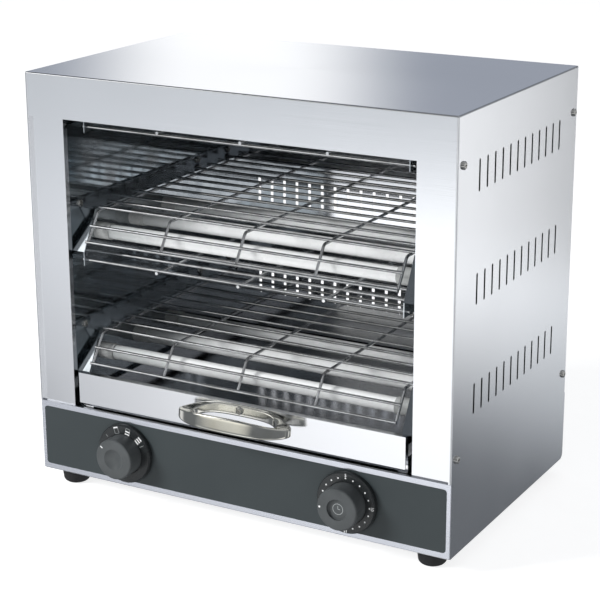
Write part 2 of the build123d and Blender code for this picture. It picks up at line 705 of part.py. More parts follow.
def rack_bed(shelf):
    """Flat part of a rack: cross wires on long wires, lying on the two shelves."""
    z = shelf + SEAT_GAP + RACK_RADIUS
    low = z - RACK_WELD
    rear = RACK_FIRST_Y + RACK_PITCH * (RACK_FLAT_WIRES - 1) + RACK_WIRE
    reach = BRACKET_X + RACK_OVERHANG
    bed = Part()
    for x in RACK_LONG_X:
        bed += rod((x, rear, low), (x, RACK_SEAM_Y, low), RACK_RADIUS)
    for y in spaced(RACK_FIRST_Y, RACK_PITCH, RACK_FLAT_WIRES):
        bed += rod((-reach, y, z), (reach, y, z), RACK_RADIUS)
    return bed


def rack_front(shelf):
    """Sloped front of a rack: the long wires bend down over the shelves' noses."""
    low = shelf + SEAT_GAP + RACK_RADIUS - RACK_WELD
    seam = Vector(0, RACK_SEAM_Y, low)
    knee = Vector(0, BRACKET_KNEE_Y - RACK_WIRE, low)
    foot = Vector(0, RACK_FOOT_Y, low - RACK_SLOPE_DROP)
    front = Part()
    for x in RACK_LONG_X:
        shift = Vector(x, 0, 0)
        route = FilletPolyline(seam + shift, knee + shift, foot + shift, radius=RACK_KNEE_RADIUS)
        front += sweep(Plane(origin=seam + shift, z_dir=(0, -1, 0)) * Circle(RACK_RADIUS), route)
    slope = (foot - knee).normalized()
    proud = Vector(0, slope.Z, -slope.Y) * RACK_WELD
    half = RACK_LONG_X[-1] + RACK_RADIUS
    for down in (RACK_SLOPE_WIRE, (foot - knee).length - RACK_RADIUS):
        at = knee + slope * down + proud
        front += rod((-half, at.Y, at.Z), (half, at.Y, at.Z), RACK_RADIUS)
    return front


# ---- Crumb tray --------------------------------------------------------------------------------------
TRAY_Z = max(DECK_Z + SHEET, PANEL_TOP) + SEAT_GAP
TRAY_HALF = OPENING_HALF - TRAY_SIDE_GAP
PAN_HALF = OPENING_HALF - TRAY_PAN_GAP
TRAY_FACE_Z = SEAM_Z + TRAY_FACE_LOW
TRAY_FACE_TOP = TRAY_FACE_Z + TRAY_FACE_HEIGHT
TRAY_PAN_Y = TRAY_FACE_Y + TRAY_CAP_DEPTH - THIN_SHEET


def crumb_tray():
    """Shallow pan whose front wall rises and folds forward and down into a flat face."""
    rear = BACK_Y - TRAY_REAR_GAP
    wall_top = TRAY_Z + TRAY_WALL
    tray = block(-PAN_HALF, PAN_HALF, TRAY_PAN_Y, rear, TRAY_Z, wall_top)
    inner = PAN_HALF - THIN_SHEET
    tray -= block(-inner, inner, TRAY_PAN_Y + THIN_SHEET, rear - THIN_SHEET, TRAY_Z + THIN_SHEET, wall_top + 1)
    cap_low = TRAY_FACE_TOP - THIN_SHEET
    tray += block(-TRAY_HALF, TRAY_HALF, TRAY_PAN_Y, TRAY_PAN_Y + THIN_SHEET, TRAY_Z, TRAY_FACE_TOP)
    tray += block(-TRAY_HALF, TRAY_HALF, TRAY_FACE_Y, TRAY_PAN_Y, cap_low, TRAY_FACE_TOP)
    face_back = TRAY_FACE_Y + THIN_SHEET
    tray += block(-TRAY_HALF, TRAY_HALF, TRAY_FACE_Y, face_back, TRAY_FACE_Z, TRAY_FACE_TOP)
    return tray - pull_screw_place() * screw_hole()


def tray_runner():
    """Right-hand angle on the deck: the tray runs on its foot, along its upright."""
    x0 = PAN_HALF + RUN_GAP
    front = max(TRAY_PAN_Y, LINER_Y) + THIN_SHEET + RUN_GAP
    rear = BACK_Y - TRAY_REAR_GAP
    upright = block(x0, x0 + SHEET, front, rear, DECK_Z, DECK_Z + RUNNER_HEIGHT)
    foot = block(x0 + SHEET - RUNNER_FOOT, x0 + SHEET, front, rear, DECK_Z, DECK_Z + SHEET)
    return upright + foot


PULL_TOP = TRAY_FACE_TOP - PULL_REAR_DROP
PULL_LOW = PULL_TOP - PULL_FALL - PULL_FRONT_HEIGHT
PULL_FRONT_Y = TRAY_FACE_Y - PULL_REACH


def pull_outline(z, bow):
    """The pull's plan at one height: a straight back, full ends and a front that bows out."""
    front = PULL_FRONT_Y + PULL_BOW
    ends = [
        (PULL_FRONT_LENGTH / 2, front, PULL_CORNER_RADIUS),
        (PULL_LENGTH / 2, TRAY_FACE_Y - PULL_TIP_BACK, PULL_TIP_RADIUS),
        (PULL_BACK_LENGTH / 2, TRAY_FACE_Y, PULL_BACK_RADIUS),
    ]
    right = [(x, y) for x, y, radius in ends]
    left = [(-x, y) for x, y in reversed(right)]
    front_edge = ThreePointArc(left[-1], (0, front - bow), right[0]) if bow else Line(left[-1], right[0])
    outline = make_face(Polyline(right + left) + front_edge)
    for x, y, radius in ends:
        corners = [outline.vertices().sort_by_distance((side * x, y, 0))[0] for side in (-1, 1)]
        outline = fillet(corners, radius)
    return Pos(PULL_CENTRE_X, 0, z) * outline


def tray_pull():
    """Chrome pull: a loop whose straight top edge leans out to a bowed lower edge in front."""
    pull = loft([pull_outline(PULL_LOW, PULL_BOW), pull_outline(PULL_TOP, 0)], ruled=True)
    near, far = PULL_FRONT_Y + PULL_BOW + PULL_FRONT_BAR, TRAY_FACE_Y - PULL_REAR_BAR
    finger = RectangleRounded(PULL_LENGTH - 2 * PULL_END_BAR, far - near, PULL_OPENING_RADIUS)
    pull -= extrude(Pos(PULL_CENTRE_X, (near + far) / 2) * finger, TOP_Z)
    half = PULL_LENGTH / 2
    profile = [(TRAY_FACE_Y, PULL_TOP - PULL_REAR_HEIGHT), (TRAY_FACE_Y, PULL_TOP)]
    profile += [(PULL_FRONT_Y, PULL_TOP - PULL_FALL), (PULL_FRONT_Y, PULL_LOW)]
    side = along_x(profile, PULL_CENTRE_X - half, PULL_CENTRE_X + half)
    tip_low = PULL_LOW + PULL_TIP_RISE
    low_arc = ThreePointArc((half, tip_low), (0, PULL_LOW), (-half, tip_low))
    frame = Line((half, TOP_Z), (half, tip_low)) + Line((-half, tip_low), (-half, TOP_Z))
    frame += Line((-half, TOP_Z), (half, TOP_Z))
    belly = extrude(make_face(Plane.XZ * Pos(PULL_CENTRE_X, 0) * (low_arc + frame)), HALF_WIDTH, both=True)
    pull = pull & side & belly
    top = pull.faces().sort_by(Axis.Z)[-1]
    pull = fillet(top.inner_wires()[0].edges(), PULL_ROUND)
    return pull - pull_screw_place() * screw_hole()


PULL_SCREW_Z = PULL_TOP - PULL_REAR_HEIGHT / 2


def pull_screw_place():
    """On the front of the pull's rear bar, pointing to the front."""
    return Plane(origin=(PULL_CENTRE_X, TRAY_FACE_Y - PULL_REAR_BAR, PULL_SCREW_Z), z_dir=(0, -1, 0))


# ---- Feet, gland and terminals ---------------------------------------------------------------------
def rubber_foot(x, y):
    """Tapered foot with a rounded tread and a pocket for its screw."""
    top, low = FOOT_DIAMETER / 2, FOOT_DIAMETER / 2 - FOOT_TAPER
    foot = Pos(x, y, FOOT_HEIGHT / 2) * Cone(low, top, FOOT_HEIGHT)
    foot = fillet(foot.edges().sort_by(Axis.Z)[0], FOOT_ROUND)
    foot -= Pos(x, y, 0) * Cylinder(FOOT_BORE / 2, 2 * FOOT_BORE_DEPTH)
    return foot - Pos(x, y, 0) * Cylinder(FOOT_SCREW / 2 + SHAFT_GAP, 4 * FOOT_HEIGHT)


def foot_screw(x, y):
    """Screw up through the foot, with its nut on the base's floor."""
    head_low = FOOT_BORE_DEPTH - FOOT_HEAD_HEIGHT
    head = rod((x, y, head_low), (x, y, FOOT_BORE_DEPTH), FOOT_SCREW_HEAD / 2)
    for width, length in CROSS:
        head -= Pos(x, y, head_low) * Box(width, length, 2 * CROSS_DEPTH)
    nut_low = BASE_Z + SHEET
    nut = Pos(x, y, nut_low) * extrude(RegularPolygon(FOOT_SCREW_HEAD / 2, 6), FOOT_NUT_HEIGHT)
    shank_top = nut_low + FOOT_NUT_HEIGHT + SHEET
    return head + nut + rod((x, y, FOOT_BORE_DEPTH), (x, y, shank_top), FOOT_SCREW / 2)


def cable_gland():
    """Clamping gland for the mains cable, through the back of the base."""
    place = Plane(origin=(GLAND_X, BODY_DEPTH, BASE_Z + GLAND_HEIGHT), z_dir=(0, 1, 0))
    hexagon = RegularPolygon(GLAND_HEX / 2, 6)
    nut = extrude(place * hexagon, GLAND_REACH)
    nut = chamfer(nut.edges().filter_by(GeomType.LINE).group_by(Axis.Y)[-1], GLAND_BEVEL)
    gland = nut + extrude(place * Circle(GLAND_THREAD / 2), -GLAND_THREAD_LENGTH)
    gland += extrude(place.offset(-SHEET) * hexagon, -GLAND_NUT_HEIGHT)
    return gland - place * Cylinder(GLAND_BORE / 2, 4 * GLAND_THREAD_LENGTH)


def terminal_block():
    """Mains terminal block on the base's floor, near the gland."""
    floor = BASE_Z + SHEET
    x, y = GLAND_X - BLOCK_FROM_GLAND, BODY_DEPTH - BLOCK_FROM_BACK
    half, wide = BLOCK_LENGTH / 2, BLOCK_WAY_WIDTH / 2
    body = block(x - half, x + half, y, y + BLOCK_WIDTH, floor, floor + BLOCK_WEB)
    ways = [x + shift for shift in centred(BLOCK_LENGTH / BLOCK_WAYS, BLOCK_WAYS)]
    for at in ways:
        body += block(at - wide, at + wide, y, y + BLOCK_WIDTH, floor, floor + BLOCK_HEIGHT)
    height = floor + BLOCK_BORE_HEIGHT
    for at in ways:
        body -= rod((at, y - 1, height), (at, y + BLOCK_WIDTH + 1, height), BLOCK_BORE / 2)
    return body


# ---- The nodes -----------------------------------------------------------------------------------------
keep("outer_cover", outer_cover())
keep("back_panel", back_panel())
keep("front_post_right", front_post())
keep("front_post_left", mirror_x(front_post()))
keep("side_liner_right", side_liner())
keep("side_liner_left", mirror_x(side_liner()))
keep("ceiling_reflector", ceiling_reflector())
keep("base_pan", base_pan())
keep("base_side_right", base_side())
keep("base_side_left", mirror_x(base_side()))
keep("base_deck", base_deck())
keep("control_panel", control_panel())
keep("panel_overlay", panel_overlay())

for level, shelf in (("lower", LOWER_SHELF), ("upper", UPPER_SHELF)):
    bracket = shelf_bracket(shelf, guarded=level == "upper")
    keep(f"heater_bracket_{level}_right", bracket)
    keep(f"heater_bracket_{level}_left", mirror_x(bracket))
    keep(f"rack_{level}", rack_bed(shelf))
    keep(f"rack_{level}_front", rack_front(shelf))
keep("heater_bracket_top_right", ceiling_bracket())
keep("heater_bracket_top_left", mirror_x(ceiling_bracket()))

for row, z in (("bottom", LOWER_TUBE_Z), ("middle", MIDDLE_TUBE_Z), ("top", TOP_TUBE_Z)):
    right_caps = [end_cap(y, z) for y in TUBE_Y]
    keep(f"quartz_tubes_{row}", *tube_row(z))
    keep(f"tube_end_caps_{row}", *right_caps, *[mirror_x(cap) for cap in right_caps])
    keep(f"heating_coils_{row}", *[coil(y, z) for y in TUBE_Y])
keep("middle_guard", wire_guard(MIDDLE_TUBE_Z - GUARD_DROP, GUARD_Y, side=-1))
keep("ceiling_guard", wire_guard(TOP_TUBE_Z - CEILING_GUARD_DROP, CEILING_GUARD_Y, side=1))

keep("selector_dial_ring", dial_ring(-CONTROL_X))
keep("timer_dial_ring", dial_ring(CONTROL_X))
keep("selector_knob", knob(-CONTROL_X, timer=False))
keep("timer_knob", knob(CONTROL_X, timer=True))
keep("selector_shaft", control_shaft(-CONTROL_X))
keep("timer_shaft", control_shaft(CONTROL_X))
keep("selector_switch", selector_switch())
keep("timer_clockwork", timer_clockwork())

keep("crumb_tray", crumb_tray())
keep("tray_pull", tray_pull())
keep("tray_pull_screw", pull_screw_place() * pan_screw())
keep("tray_runners", tray_runner(), mirror_x(tray_runner()))

bracket_screw_right = [
    Plane(origin=(LINER_X - THIN_SHEET, y, z), z_dir=(-1, 0, 0)) * pan_screw() for y, z in bracket_screws()
]
keep("bracket_screws", *bracket_screw_right, *[mirror_x(screw) for screw in bracket_screw_right])
keep("cover_screws", *[place * pan_screw() for place in side_screw_places()])
keep("back_screws", *[place * pan_screw() for place in back_screw_places()])
keep("rubber_feet", *[rubber_foot(x, y) for x, y in FEET])
keep("foot_screws", *[foot_screw(x, y) for x, y in FEET])
keep("cable_gland", cable_gland())
keep("terminal_block", terminal_block())

os.makedirs("parts", exist_ok=True)
for name, pieces in NODES.items():
    export_step(pieces[0] if len(pieces) == 1 else Compound(children=pieces), f"parts/{name}.step")
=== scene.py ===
import math

import bmesh
import bpy
from mathutils import Matrix, Quaternion, Vector


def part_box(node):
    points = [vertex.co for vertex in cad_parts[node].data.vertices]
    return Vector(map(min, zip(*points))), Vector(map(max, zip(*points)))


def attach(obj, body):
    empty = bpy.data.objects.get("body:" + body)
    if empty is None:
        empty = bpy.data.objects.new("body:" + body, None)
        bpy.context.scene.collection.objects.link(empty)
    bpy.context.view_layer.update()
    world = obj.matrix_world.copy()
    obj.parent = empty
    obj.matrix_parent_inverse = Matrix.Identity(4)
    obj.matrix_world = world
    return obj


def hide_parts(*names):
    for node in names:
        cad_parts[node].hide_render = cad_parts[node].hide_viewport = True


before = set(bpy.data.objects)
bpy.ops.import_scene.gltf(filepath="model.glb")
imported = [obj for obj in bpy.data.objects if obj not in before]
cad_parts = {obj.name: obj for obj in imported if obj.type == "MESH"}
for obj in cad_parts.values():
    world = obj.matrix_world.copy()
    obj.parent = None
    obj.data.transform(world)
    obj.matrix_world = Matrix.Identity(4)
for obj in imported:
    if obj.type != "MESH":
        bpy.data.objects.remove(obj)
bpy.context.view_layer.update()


# ---- Outer cover, posts, back panel, base pan and deck -------------------------------------------
# The cabinet is folded from satin stainless sheet. The mill grain runs along the cover's width and
# down its sides; fingers and cloths have left it a little uneven, and it is mirror-like at a slant.
MM = 0.001
STEEL_COLOUR = (0.76, 0.77, 0.79, 1)
STEEL_ROUGHNESS = (0.13, 0.19)
STEEL_ANISOTROPY = 0.35
STEEL_SHADE = 0.93
GRAIN_ALONG, GRAIN_ACROSS = 6.0, 2600.0
GRAIN_DEPTH = 0.012 * MM
FRONT_OR_BACK = 0.7
BACK_INSIDE_ROUGHNESS = 0.07
BACK_INSIDE_RELIEF = 0.1
FOLD_ROUND, FOLD_STEPS, FOLD_ANGLE = 0.35 * MM, 2, math.radians(50)


def add(tree, kind, sockets=(), **settings):
    """Adds a shader node; each named socket is set to a value or fed from another node."""
    node = tree.nodes.new(kind)
    for name, value in settings.items():
        setattr(node, name, value)
    for name, value in dict(sockets).items():
        if isinstance(value, bpy.types.NodeSocket):
            tree.links.new(value, node.inputs[name])
        else:
            node.inputs[name].default_value = value
    return node


def calculate(tree, operation, *values):
    sockets = dict(enumerate(values))
    return add(tree, "ShaderNodeMath", sockets, operation=operation).outputs[0]


def either(tree, choice, plain, other):
    """The plain number where choice is nought, and the other where it is one."""
    return add(tree, "ShaderNodeMix", {0: choice, 2: plain, 3: other}, data_type="FLOAT").outputs[0]


def spread(tree, value, low, high, to_low, to_high, smooth=False):
    """Maps a number from one range to another, held at both ends."""
    kind = "SMOOTHSTEP" if smooth else "LINEAR"
    names = ("Value", "From Min", "From Max", "To Min", "To Max")
    sockets = dict(zip(names, (value, low, high, to_low, to_high)))
    return add(tree, "ShaderNodeMapRange", sockets, interpolation_type=kind).outputs[0]


def noise(tree, point, scale, detail=2.0, roughness=0.5):
    sockets = {"Vector": point, "Scale": scale, "Detail": detail, "Roughness": roughness}
    return add(tree, "ShaderNodeTexNoise", sockets).outputs[0]


def ramp(tree, value, *stops):
    """Colours along a scale, each given as (place, colour)."""
    node = add(tree, "ShaderNodeValToRGB", {0: value})
    elements = node.color_ramp.elements
    for index, (place, colour) in enumerate(stops):
        element = elements[index] if index < 2 else elements.new(place)
        element.position = place
        element.color = colour
    return node.outputs[0]


def two_tone(tree, pattern, dark, light):
    """A dark and a light shade, spread over the middle of a pattern's range."""
    return ramp(tree, pattern, (0.3, dark), (0.7, light))


def bump(tree, height, distance):
    return add(tree, "ShaderNodeBump", {"Height": height, "Distance": distance}).outputs[0]


def place_of(tree):
    """The point on the piece in the cabinet's own frame, and its x, y and z."""
    point = add(tree, "ShaderNodeTexCoord").outputs["Object"]
    return point, *add(tree, "ShaderNodeSeparateXYZ", {0: point}).outputs


def facing_back(tree):
    """One where a face looks straight back, and minus one where it looks straight to the front."""
    normal = add(tree, "ShaderNodeNewGeometry").outputs["Normal"]
    return add(tree, "ShaderNodeSeparateXYZ", {0: normal}).outputs[1]


def vector(tree, x, y, z):
    return add(tree, "ShaderNodeCombineXYZ", {0: x, 1: y, 2: z}).outputs[0]


def material(name):
    """An empty material, with its node tree and its principled shader."""
    made = bpy.data.materials.new(name)
    made.use_nodes = True
    return made, made.node_tree, made.node_tree.nodes["Principled BSDF"]


def join(tree, shader, **sockets):
    """Feeds a shader's sockets; underscores in the names stand for spaces."""
    for name, value in sockets.items():
        socket = shader.inputs[name.replace("_", " ")]
        if isinstance(value, bpy.types.NodeSocket):
            tree.links.new(value, socket)
        else:
            socket.default_value = value


def coat(finish, *names):
    """Gives CAD nodes a finish."""
    for name in names:
        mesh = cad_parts[name].data
        mesh.materials.clear()
        mesh.materials.append(finish)


def ease(*names):
    """Rounds the sharp folds of CAD nodes a little, as a brake press leaves them."""
    for name in names:
        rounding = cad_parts[name].modifiers.new("eased_edges", "BEVEL")
        rounding.width, rounding.segments = FOLD_ROUND, FOLD_STEPS
        rounding.limit_method, rounding.angle_limit = "ANGLE", FOLD_ANGLE
        rounding.use_clamp_overlap = True


def grain(tree, x, y, z):
    """Mill grain: long fine streaks along x on level and front faces, and down the side faces."""
    front = calculate(tree, "GREATER_THAN", calculate(tree, "ABSOLUTE", facing_back(tree)), FRONT_OR_BACK)
    across = calculate(tree, "MULTIPLY", either(tree, front, y, z), GRAIN_ACROSS)
    level_or_side = calculate(tree, "MULTIPLY", calculate(tree, "ADD", x, z), GRAIN_ALONG)
    along = either(tree, front, level_or_side, calculate(tree, "MULTIPLY", x, GRAIN_ALONG))
    return noise(tree, vector(tree, along, across, 0.0), 1.0, 3.0, 0.6)


def sheet_steel(name, colour, roughness, inside=None):
    """Satin sheet; inside, if given, is the roughness of its smoother faces that look to the front."""
    made, tree, shader = material(name)
    point, x, y, z = place_of(tree)
    streaks = grain(tree, x, y, z)
    clouds = noise(tree, point, 9.0, 3.0)
    low, high = roughness
    rough = spread(tree, calculate(tree, "ADD", streaks, clouds), 0.6, 1.4, low, high)
    shade = tuple(STEEL_SHADE * part for part in colour[:3]) + (1,)
    half_streaks = calculate(tree, "MULTIPLY", streaks, 0.5)
    tone = two_tone(tree, calculate(tree, "MULTIPLY_ADD", clouds, 0.5, half_streaks), shade, colour)
    relief = GRAIN_DEPTH
    if inside:
        front = calculate(tree, "LESS_THAN", facing_back(tree), -0.5)
        rough = either(tree, front, rough, inside)
        relief = spread(tree, front, 0.0, 1.0, relief, BACK_INSIDE_RELIEF * relief)
    join(tree, shader, Base_Color=tone, Metallic=1.0, Roughness=rough, Anisotropic=STEEL_ANISOTROPY)
    join(tree, shader, Normal=bump(tree, streaks, relief))
    return made


cabinet_steel = sheet_steel("cabinet_steel", STEEL_COLOUR, STEEL_ROUGHNESS)
coat(cabinet_steel, "outer_cover", "front_post_right", "front_post_left", "base_deck")
coat(cabinet_steel, "base_pan", "base_side_right", "base_side_left")
back_steel = sheet_steel("back_steel", STEEL_COLOUR, STEEL_ROUGHNESS, inside=BACK_INSIDE_ROUGHNESS)
coat(back_steel, "back_panel")
ease("outer_cover", "front_post_right", "front_post_left")


# ---- Side liners and ceiling reflector -----------------------------------------------------------
# Thin mirror-bright sheet that throws the heat back. Its own weight and the heat have left it
# slightly wavy, so that what it mirrors wanders, and years of crumbs have dulled it in patches.
# Both liner colours are kept darker than bright sheet is: painted shade for the inside of the cabinet, on
# top of the real dull patches.
LINER_SHADED_COLOUR = (0.33, 0.38, 0.41, 1)
LINER_SHADED_DULL = (0.27, 0.29, 0.3, 1)
LINER_ROUGHNESS = (0.04, 0.1)
LINER_WAVE = 0.25 * MM


def mirror_sheet(name, bright, dull, roughness, wave):
    """Bright sheet with dull patches; wave is how deep its waviness looks."""
    made, tree, shader = material(name)
    point = place_of(tree)[0]
    waves = noise(tree, point, 11.0, 1.0)
    patches = noise(tree, point, 34.0, 4.0, 0.65)
    low, high = roughness
    join(tree, shader, Base_Color=ramp(tree, patches, (0.35, dull), (0.62, bright)), Metallic=1.0)
    join(tree, shader, Roughness=spread(tree, patches, 0.35, 0.7, high, low))
    join(tree, shader, Normal=bump(tree, waves, wave))
    return made


shaded_liner_steel = mirror_sheet("shaded_liner_steel", LINER_SHADED_COLOUR, LINER_SHADED_DULL, LINER_ROUGHNESS, LINER_WAVE)
coat(shaded_liner_steel, "side_liner_right", "side_liner_left", "ceiling_reflector")


# ---- Heater brackets -----------------------------------------------------------------------------
# Folded brackets of the same bright sheet carry the racks on their tops and hold the tubes' ends.
# They are cleaner than the liners, because the racks slide over them.
BRACKET_COLOUR = (0.5, 0.53, 0.55, 1)
BRACKET_DULL = (0.38, 0.41, 0.43, 1)
BRACKET_ROUGHNESS = (0.07, 0.14)
BRACKET_WAVE = 0.08 * MM
BRACKET_LEVELS = ("lower", "upper", "top")

bracket_steel = mirror_sheet("bracket_steel", BRACKET_COLOUR, BRACKET_DULL, BRACKET_ROUGHNESS, BRACKET_WAVE)
for level in BRACKET_LEVELS:
    coat(bracket_steel, f"heater_bracket_{level}_left", f"heater_bracket_{level}_right")


# ---- Quartz tubes, end caps and heating coils ----------------------------------------------------
# Milky fused-quartz tubes in rows of three: clouded white along most of their length, with painted shade
# that darkens them towards the left ends, where the left post shades them. Each has a wound wire inside and
# a grey ceramic cap on both ends.
ROWS = ("bottom", "middle", "top")
TUBES_IN_ROW = 3
TUBE_SHADED_END, TUBE_PART_SHADED = (0.42, 0.44, 0.44, 1), (0.62, 0.64, 0.64, 1)
TUBE_CLOUDED, TUBE_MILK = (0.86, 0.87, 0.87, 1), (0.93, 0.94, 0.94, 1)
SHADE_RAMP_HALF_LENGTH = 0.15
CERAMIC_DARK, CERAMIC_LIGHT = (0.3, 0.31, 0.31, 1), (0.52, 0.53, 0.52, 1)
COIL_DARK, COIL_LIGHT = (0.16, 0.15, 0.15, 1), (0.34, 0.32, 0.3, 1)
COIL_PITCH, COIL_WIRE, COIL_RADIUS, COIL_PIN = 3.0 * MM, 0.45 * MM, 3.4 * MM, 14 * MM
COIL_POINTS, COIL_ROUNDNESS = 10, 1


def wander(tree, pattern, low, high):
    """A number between two others, spread over the middle of a pattern's range."""
    return spread(tree, pattern, 0.3, 0.7, low, high)


quartz, tree, shader = material("milky_quartz")
point, x = place_of(tree)[:2]
cloud = noise(tree, point, 60.0, 3.0)
along = calculate(tree, "ADD", x, calculate(tree, "MULTIPLY", cloud, 0.02))
# Painted shade: the colour runs from milky white down to dim grey towards the tubes' left ends.
left_shade_ramp = spread(tree, along, -SHADE_RAMP_HALF_LENGTH, SHADE_RAMP_HALF_LENGTH, 0, 1)
milk_and_painted_shade = ramp(tree, left_shade_ramp, (0.0, TUBE_SHADED_END), (0.15, TUBE_PART_SHADED), (0.3, TUBE_CLOUDED), (0.6, TUBE_MILK),
            (1.0, TUBE_MILK))
join(tree, shader, Base_Color=milk_and_painted_shade, Roughness=wander(tree, cloud, 0.22, 0.36))
join(tree, shader, Coat_Weight=0.5, Coat_Roughness=0.12, IOR=1.46)
join(tree, shader, Normal=bump(tree, cloud, 0.06 * MM))
coat(quartz, *[f"quartz_tubes_{row}" for row in ROWS])

ceramic, tree, shader = material("grey_ceramic")
speckle = noise(tree, place_of(tree)[0], 900.0, 4.0, 0.7)
join(tree, shader, Base_Color=two_tone(tree, speckle, CERAMIC_DARK, CERAMIC_LIGHT))
join(tree, shader, Roughness=0.7, Normal=bump(tree, speckle, 0.1 * MM))
coat(ceramic, *[f"tube_end_caps_{row}" for row in ROWS])

coil_alloy, tree, shader = material("coil_alloy")
scale_marks = noise(tree, place_of(tree)[0], 700.0, 3.0)
join(tree, shader, Base_Color=two_tone(tree, scale_marks, COIL_DARK, COIL_LIGHT))
join(tree, shader, Metallic=1.0, Roughness=wander(tree, scale_marks, 0.35, 0.6))


def coil_run(low, high, y, z):
    """One winding: a straight pin at each end, and turns between them."""
    turns = int((high - low - 2 * COIL_PIN) / COIL_PITCH)
    run = [Vector((low, y, z))]
    for step in range(turns * COIL_POINTS + 1):
        turn = math.tau * step / COIL_POINTS
        advance = COIL_PITCH * step / COIL_POINTS
        offset = Vector((advance, COIL_RADIUS * math.cos(turn), COIL_RADIUS * math.sin(turn)))
        run.append(Vector((low + COIL_PIN, y, z)) + offset)
    return run + [Vector((high, y, z))]


def wound_wires(name, runs):
    """The coils of one row as a single curve with a round bevel."""
    curve = bpy.data.curves.new(name, "CURVE")
    curve.dimensions, curve.bevel_depth, curve.bevel_resolution = "3D", COIL_WIRE, COIL_ROUNDNESS
    curve.use_fill_caps = True
    for run in runs:
        spline = curve.splines.new("POLY")
        spline.points.add(len(run) - 1)
        for at, spot in zip(spline.points, run):
            at.co = (*spot, 1)
    piece = bpy.data.objects.new(name, curve)
    curve.materials.append(coil_alloy)
    bpy.context.scene.collection.objects.link(piece)
    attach(piece, "cabinet")
    return piece


for row in ROWS:
    low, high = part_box(f"heating_coils_{row}")
    first, last = low.y + COIL_RADIUS, high.y - COIL_RADIUS
    pitch = (last - first) / (TUBES_IN_ROW - 1)
    middle_z = (low.z + high.z) / 2
    runs = [coil_run(low.x, high.x, first + pitch * tube, middle_z) for tube in range(TUBES_IN_ROW)]
    windings = wound_wires(f"coil_windings_{row}", runs)
    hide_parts(f"heating_coils_{row}")


# ---- Wire guards and racks -----------------------------------------------------------------------
# Bright chromed wire, resistance-welded where it crosses and cropped to length. Two guards keep the
# food off the tubes above it; heat and grease have dulled the chrome in patches.
WIRE_COLOUR = (0.74, 0.75, 0.76, 1)
WIRE_DULL = (0.5, 0.5, 0.5, 1)

chromed_wire, tree, shader = material("chromed_wire")
tarnish = noise(tree, place_of(tree)[0], 45.0, 4.0, 0.6)
join(tree, shader, Base_Color=ramp(tree, tarnish, (0.36, WIRE_DULL), (0.6, WIRE_COLOUR)), Metallic=1.0)
join(tree, shader, Roughness=spread(tree, tarnish, 0.35, 0.7, 0.16, 0.07))
coat(chromed_wire, "middle_guard", "ceiling_guard")
coat(chromed_wire, "rack_upper", "rack_upper_front", "rack_lower", "rack_lower_front")


# ---- Crumb tray and its pull ---------------------------------------------------------------------
# The tray is folded from the cabinet's sheet, and its face is as clean as the posts'. The pull is a
# polished chrome casting, held by one screw from the front; its warm tint is a painted reflection of warm
# surroundings.
WARM_REFLECTION_CHROME_DARK, WARM_REFLECTION_CHROME = (0.74, 0.72, 0.64, 1), (0.84, 0.83, 0.77, 1)
PULL_CREASE = 0.75
PULL_SMOOTHING = 3
# Half of the casting's loop from the back's middle, round the tip, to the front's middle, in mm from
# the top of its back: outer x and y, inner x and y, top, underside, and how far the face leans out.
PULL_HALF_LOOP = (
    (0, 0, 0, -4.0, 0, -9.5, 0),
    (34, 0, 31, -4.2, -0.4, -10.5, 0),
    (48, -4, 39, -7.5, -4.6, -13, 0),
    (63, -13, 46, -14, -8.6, -14.5, 0.5),
    (54, -20.5, 43, -20.5, -7.2, -16.5, 2.0),
    (38, -26.2, 35, -24.0, -5.6, -17.6, 3.0),
    (19, -27.3, 17, -24.8, -4.6, -17.8, 3.5),
    (0, -27.5, 0, -25.0, -4.4, -17.9, 3.5),
)

coat(cabinet_steel, "crumb_tray", "tray_runners")
pull_chrome, tree, shader = material("pull_chrome")
film = noise(tree, place_of(tree)[0], 30.0, 3.0)
# The warm tint in both chrome colours is a painted reflection of the warm surroundings.
join(tree, shader, Base_Color=ramp(tree, film, (0.35, WARM_REFLECTION_CHROME_DARK), (0.65, WARM_REFLECTION_CHROME)))
join(tree, shader, Metallic=1.0, Roughness=wander(tree, film, 0.05, 0.12))


def mesh_piece(name, build, finish, body, smooth=True):
    """A mesh made by build(bmesh), with its finish and body."""
    mesh = bpy.data.meshes.new(name)
    shape = bmesh.new()
    build(shape)
    for face in shape.faces:
        face.smooth = smooth
    shape.to_mesh(mesh)
    shape.free()
    mesh.materials.append(finish)
    piece = bpy.data.objects.new(name, mesh)
    bpy.context.scene.collection.objects.link(piece)
    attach(piece, body)
    return piece


def pull_loop(shape):
    """The closed loop of the casting, with four creased edges round its section."""
    low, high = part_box("tray_pull")
    origin = Vector(((low.x + high.x) / 2, high.y, high.z))
    stations = [(1, station) for station in PULL_HALF_LOOP]
    stations += [(-1, station) for station in reversed(PULL_HALF_LOOP[1:-1])]
    rings = []
    for side, (outer_x, outer_y, inner_x, inner_y, top, under, lean) in stations:
        corners = ((outer_x, outer_y, top), (outer_x, outer_y - lean, under),
                   (inner_x, inner_y, under), (inner_x, inner_y, top))
        rings.append([shape.verts.new(origin + Vector((side * x, y, z)) * MM) for x, y, z in corners])
    crease = shape.edges.layers.float.new("crease_edge")
    for ring, following in zip(rings, rings[1:] + rings[:1]):
        for corner in range(len(ring)):
            beside = (corner + 1) % len(ring)
            shape.faces.new((ring[corner], following[corner], following[beside], ring[beside]))
        for near, far in zip(ring, following):
            shape.edges.get((near, far))[crease] = PULL_CREASE
    bmesh.ops.recalc_face_normals(shape, faces=shape.faces)


pull_casting = mesh_piece("pull_casting", pull_loop, pull_chrome, "tray")
rounding = pull_casting.modifiers.new("cast_form", "SUBSURF")
rounding.levels = rounding.render_levels = PULL_SMOOTHING
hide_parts("tray_pull")


